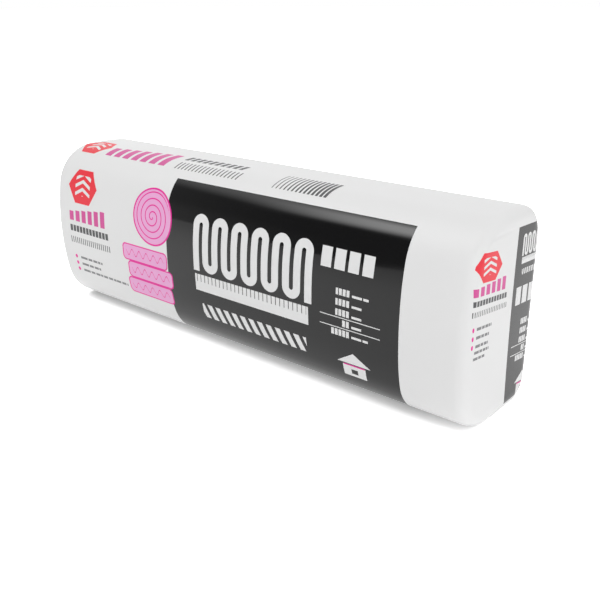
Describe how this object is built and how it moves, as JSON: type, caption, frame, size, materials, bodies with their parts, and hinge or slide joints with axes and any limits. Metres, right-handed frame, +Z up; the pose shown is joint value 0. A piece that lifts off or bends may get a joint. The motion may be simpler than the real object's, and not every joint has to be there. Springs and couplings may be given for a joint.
{
  "type": "film wrapped package of kraft faced glass wool batts",
  "caption": "Bulging white film bag of compressed glass wool insulation batts with kraft paper facings, stood on their long edges.",
  "frame": {"origin": "centre of the underside, on the floor", "axes": "+X along the batts, -Y the crowned front of the package, +Z up"},
  "size_m": [1.242, 0.2816, 0.4179],
  "materials": {
    "film": "satin polyethylene film, printed",
    "glass_wool": "soft glass fibre wool",
    "kraft_paper": "asphalt coated kraft paper"
  },
  "bodies": {
    "root": {"film_bag": "film", "glass_wool_batts": "glass_wool", "kraft_facings": "kraft_paper"}
  },
  "joints": []
}
